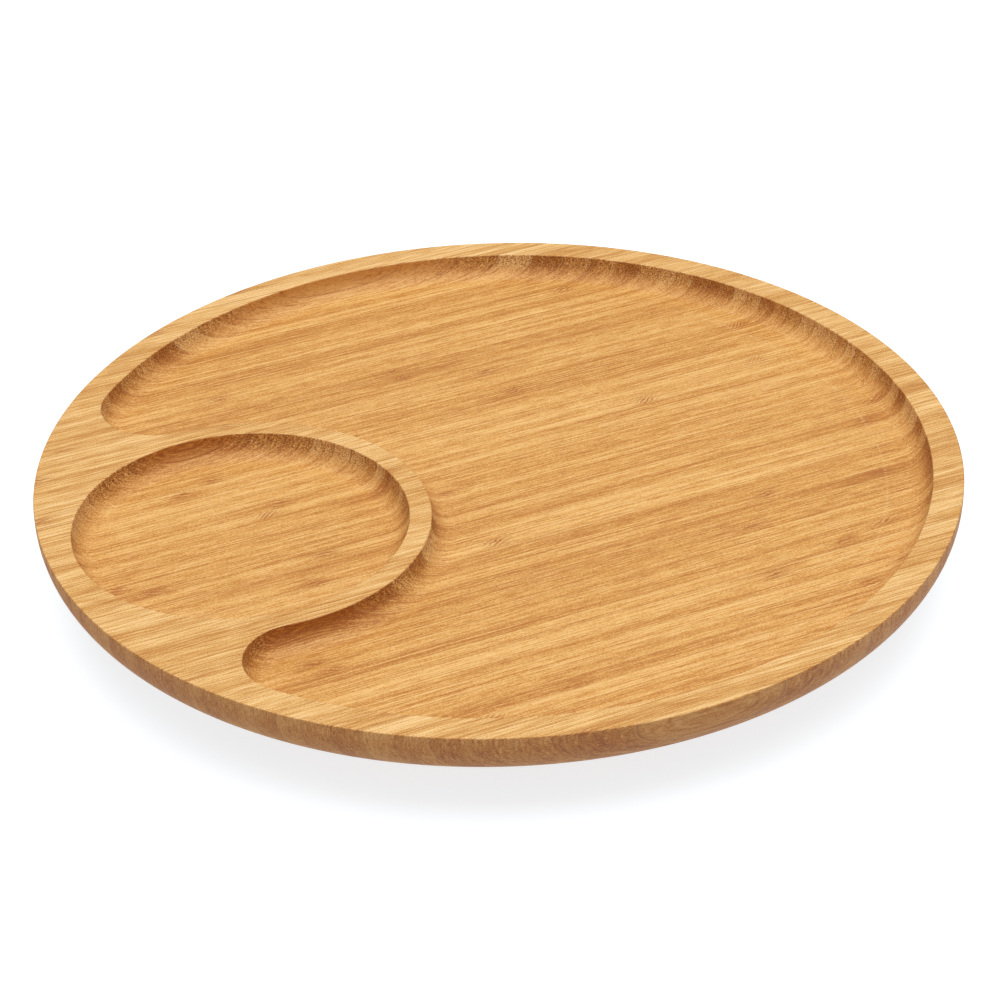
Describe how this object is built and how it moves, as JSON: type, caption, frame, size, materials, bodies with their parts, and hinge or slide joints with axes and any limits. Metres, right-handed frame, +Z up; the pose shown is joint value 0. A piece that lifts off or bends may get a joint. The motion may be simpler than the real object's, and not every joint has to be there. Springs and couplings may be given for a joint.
{
  "type": "lazy susan turntable",
  "caption": "Round bamboo serving board with two routed recesses that spins on a steel ball bearing over a smaller base disc with rubber feet.",
  "frame": {"origin": "on the spin axis, at the plane the four feet stand on", "axes": "+Z up along the spin axis; the round dish lies towards -X and slightly -Y at rest"},
  "size_m": [0.35, 0.35, 0.038],
  "materials": {
    "board_bamboo": "satin oiled, side-pressed strips",
    "base_bamboo": "satin oiled, side-pressed strips",
    "zinc_plate": "bright zinc plating",
    "rivet_steel": "bright zinc plating",
    "screw_zinc": "bright zinc plating",
    "ball_steel": "polished",
    "nylon_cage": "moulded natural nylon",
    "foot_rubber": "matt"
  },
  "bodies": {
    "base": {"base_disc": "base_bamboo", "bearing_lower_plate": "zinc_plate", "center_rivet": "rivet_steel", "lower_plate_screw_1": "screw_zinc", "lower_plate_screw_2": "screw_zinc", "lower_plate_screw_3": "screw_zinc", "lower_plate_screw_4": "screw_zinc", "foot_1": "foot_rubber", "foot_2": "foot_rubber", "foot_3": "foot_rubber", "foot_4": "foot_rubber"},
    "turntable": {"serving_board": "board_bamboo", "bearing_upper_plate": "zinc_plate", "upper_plate_screw_1": "screw_zinc", "upper_plate_screw_2": "screw_zinc", "upper_plate_screw_3": "screw_zinc", "upper_plate_screw_4": "screw_zinc"},
    "cage": {"ball_cage": "nylon_cage"},
    "ball_01": {"bearing_ball_01": "ball_steel"},
    "ball_02": {"bearing_ball_02": "ball_steel"},
    "ball_03": {"bearing_ball_03": "ball_steel"},
    "ball_04": {"bearing_ball_04": "ball_steel"},
    "ball_05": {"bearing_ball_05": "ball_steel"},
    "ball_06": {"bearing_ball_06": "ball_steel"},
    "ball_07": {"bearing_ball_07": "ball_steel"},
    "ball_08": {"bearing_ball_08": "ball_steel"},
    "ball_09": {"bearing_ball_09": "ball_steel"},
    "ball_10": {"bearing_ball_10": "ball_steel"},
    "ball_11": {"bearing_ball_11": "ball_steel"},
    "ball_12": {"bearing_ball_12": "ball_steel"},
    "ball_13": {"bearing_ball_13": "ball_steel"},
    "ball_14": {"bearing_ball_14": "ball_steel"},
    "ball_15": {"bearing_ball_15": "ball_steel"},
    "ball_16": {"bearing_ball_16": "ball_steel"}
  },
  "joints": [
    {"name": "turntable_spin", "type": "hinge", "parent": "base", "child": "turntable", "pos_m": [0, 0, 0.02], "axis": [0, 0, 1], "continuous": true},
    {"name": "cage_orbit", "type": "hinge", "parent": "base", "child": "cage", "pos_m": [0, 0, 0.016], "axis": [0, 0, 1], "continuous": true},
    {"name": "ball_roll_01", "type": "hinge", "parent": "cage", "child": "ball_01", "pos_m": [0.036, 0, 0.016], "axis": [1, 0, 0], "continuous": true},
    {"name": "ball_roll_02", "type": "hinge", "parent": "cage", "child": "ball_02", "pos_m": [0.03326, 0.01378, 0.016], "axis": [0.9239, 0.3827, 0], "continuous": true},
    {"name": "ball_roll_03", "type": "hinge", "parent": "cage", "child": "ball_03", "pos_m": [0.02546, 0.02546, 0.016], "axis": [0.7071, 0.7071, 0], "continuous": true},
    {"name": "ball_roll_04", "type": "hinge", "parent": "cage", "child": "ball_04", "pos_m": [0.01378, 0.03326, 0.016], "axis": [0.3827, 0.9239, 0], "continuous": true},
    {"name": "ball_roll_05", "type": "hinge", "parent": "cage", "child": "ball_05", "pos_m": [0, 0.036, 0.016], "axis": [0, 1, 0], "continuous": true},
    {"name": "ball_roll_06", "type": "hinge", "parent": "cage", "child": "ball_06", "pos_m": [-0.01378, 0.03326, 0.016], "axis": [-0.3827, 0.9239, 0], "continuous": true},
    {"name": "ball_roll_07", "type": "hinge", "parent": "cage", "child": "ball_07", "pos_m": [-0.02546, 0.02546, 0.016], "axis": [-0.7071, 0.7071, 0], "continuous": true},
    {"name": "ball_roll_08", "type": "hinge", "parent": "cage", "child": "ball_08", "pos_m": [-0.03326, 0.01378, 0.016], "axis": [-0.9239, 0.3827, 0], "continuous": true},
    {"name": "ball_roll_09", "type": "hinge", "parent": "cage", "child": "ball_09", "pos_m": [-0.036, 0, 0.016], "axis": [-1, 0, 0], "continuous": true},
    {"name": "ball_roll_10", "type": "hinge", "parent": "cage", "child": "ball_10", "pos_m": [-0.03326, -0.01378, 0.016], "axis": [-0.9239, -0.3827, 0], "continuous": true},
    {"name": "ball_roll_11", "type": "hinge", "parent": "cage", "child": "ball_11", "pos_m": [-0.02546, -0.02546, 0.016], "axis": [-0.7071, -0.7071, 0], "continuous": true},
    {"name": "ball_roll_12", "type": "hinge", "parent": "cage", "child": "ball_12", "pos_m": [-0.01378, -0.03326, 0.016], "axis": [-0.3827, -0.9239, 0], "continuous": true},
    {"name": "ball_roll_13", "type": "hinge", "parent": "cage", "child": "ball_13", "pos_m": [0, -0.036, 0.016], "axis": [0, -1, 0], "continuous": true},
    {"name": "ball_roll_14", "type": "hinge", "parent": "cage", "child": "ball_14", "pos_m": [0.01378, -0.03326, 0.016], "axis": [0.3827, -0.9239, 0], "continuous": true},
    {"name": "ball_roll_15", "type": "hinge", "parent": "cage", "child": "ball_15", "pos_m": [0.02546, -0.02546, 0.016], "axis": [0.7071, -0.7071, 0], "continuous": true},
    {"name": "ball_roll_16", "type": "hinge", "parent": "cage", "child": "ball_16", "pos_m": [0.03326, -0.01378, 0.016], "axis": [0.9239, -0.3827, 0], "continuous": true}
  ],
  "couplings": [
    {"joint": "cage_orbit", "follows": "turntable_spin", "ratio": 0.5},
    {"joint": "ball_roll_01", "follows": "turntable_spin", "ratio": -7.563},
    {"joint": "ball_roll_02", "follows": "turntable_spin", "ratio": -7.563},
    {"joint": "ball_roll_03", "follows": "turntable_spin", "ratio": -7.563},
    {"joint": "ball_roll_04", "follows": "turntable_spin", "ratio": -7.563},
    {"joint": "ball_roll_05", "follows": "turntable_spin", "ratio": -7.563},
    {"joint": "ball_roll_06", "follows": "turntable_spin", "ratio": -7.563},
    {"joint": "ball_roll_07", "follows": "turntable_spin", "ratio": -7.563},
    {"joint": "ball_roll_08", "follows": "turntable_spin", "ratio": -7.563},
    {"joint": "ball_roll_09", "follows": "turntable_spin", "ratio": -7.563},
    {"joint": "ball_roll_10", "follows": "turntable_spin", "ratio": -7.563},
    {"joint": "ball_roll_11", "follows": "turntable_spin", "ratio": -7.563},
    {"joint": "ball_roll_12", "follows": "turntable_spin", "ratio": -7.563},
    {"joint": "ball_roll_13", "follows": "turntable_spin", "ratio": -7.563},
    {"joint": "ball_roll_14", "follows": "turntable_spin", "ratio": -7.563},
    {"joint": "ball_roll_15", "follows": "turntable_spin", "ratio": -7.563},
    {"joint": "ball_roll_16", "follows": "turntable_spin", "ratio": -7.563}
  ]
}
